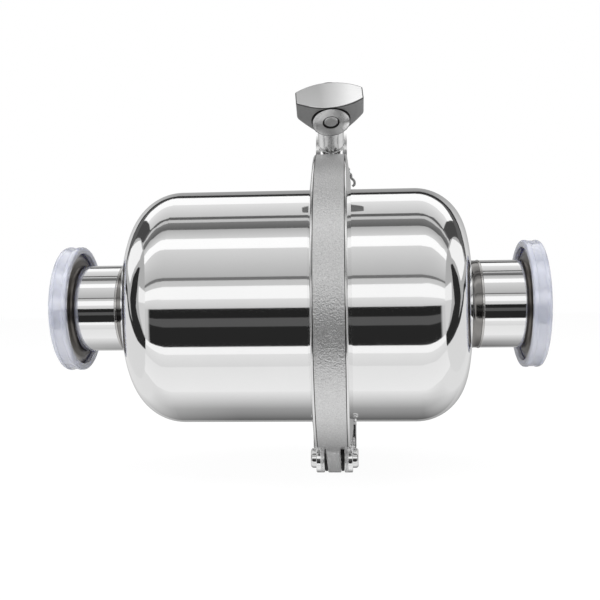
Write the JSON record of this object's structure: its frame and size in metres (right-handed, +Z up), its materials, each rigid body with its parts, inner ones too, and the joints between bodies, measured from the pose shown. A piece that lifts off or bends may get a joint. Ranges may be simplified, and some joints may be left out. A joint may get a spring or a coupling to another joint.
{
  "type": "sanitary inline strainer",
  "caption": "Sanitary inline strainer: a domed steel housing with a clamp-ring joint, a perforated basket inside, and a capped clamp port at each end.",
  "frame": {"origin": "centre of the outlet port's sealing face", "axes": "+X runs along the flow axis from the outlet port to the inlet port, +Z up through the wing nut, -Y towards the clamp's hinged half"},
  "size_m": [0.2083, 0.132, 0.1677],
  "materials": {
    "mirror_steel": "mirror polished",
    "turned_steel": "turned and polished",
    "cast_steel": "cast and blasted",
    "pin_steel": "turned bright",
    "perforated_steel": "rolled sheet",
    "mesh_steel": "woven wire cloth",
    "gasket_rubber": "smooth silicone",
    "cap_plastic": "translucent milky polyethylene"
  },
  "bodies": {
    "housing": {"outlet_shell": "mirror_steel", "inlet_shell": "mirror_steel", "outlet_port_ferrule": "turned_steel", "inlet_port_ferrule": "turned_steel", "outlet_body_ferrule": "turned_steel", "inlet_body_ferrule": "turned_steel", "body_gasket": "gasket_rubber", "basket_rim": "turned_steel", "basket_tube": "perforated_steel", "basket_mesh": "mesh_steel", "basket_end_cap": "perforated_steel", "rear_clamp_half": "cast_steel", "hinge_pin": "pin_steel", "bolt_pivot_pin": "pin_steel"},
    "front_clamp": {"front_clamp_half": "cast_steel"},
    "swing_bolt": {"swing_bolt": "pin_steel"},
    "nut_carriage": {"seat_washer": "pin_steel"},
    "nut": {"wing_nut": "cast_steel", "nut_bush": "pin_steel", "nut_lock_pin": "pin_steel"},
    "outlet_cap": {"outlet_cap": "cap_plastic"},
    "inlet_cap": {"inlet_cap": "cap_plastic"}
  },
  "joints": [
    {"name": "clamp_open", "type": "hinge", "parent": "housing", "child": "front_clamp", "pos_m": [0.117, 0, -0.0673], "axis": [1, 0, 0], "range_deg": [0, 4.5]},
    {"name": "bolt_swing", "type": "hinge", "parent": "housing", "child": "swing_bolt", "pos_m": [0.117, 0.0203, 0.062], "axis": [-1, 0, 0], "range_deg": [0, 110]},
    {"name": "nut_travel", "type": "slide", "parent": "swing_bolt", "child": "nut_carriage", "axis": [0, -0.8572, 0.515], "range_m": [0, 0.0091]},
    {"name": "nut_spin", "type": "hinge", "parent": "nut_carriage", "child": "nut", "pos_m": [0.117, 0.00401, 0.07179], "axis": [0, -0.8572, 0.515], "range_deg": [0, 2610]},
    {"name": "outlet_cap_pull", "type": "slide", "parent": "housing", "child": "outlet_cap", "axis": [-1, 0, 0], "range_m": [0, 0.07]},
    {"name": "inlet_cap_pull", "type": "slide", "parent": "housing", "child": "inlet_cap", "axis": [1, 0, 0], "range_m": [0, 0.07]}
  ],
  "couplings": [
    {"joint": "nut_travel", "follows": "nut_spin", "m_per_rad": 0.00019894},
    {"joint": "clamp_open", "follows": "nut_spin", "ratio": 0.0017203}
  ]
}
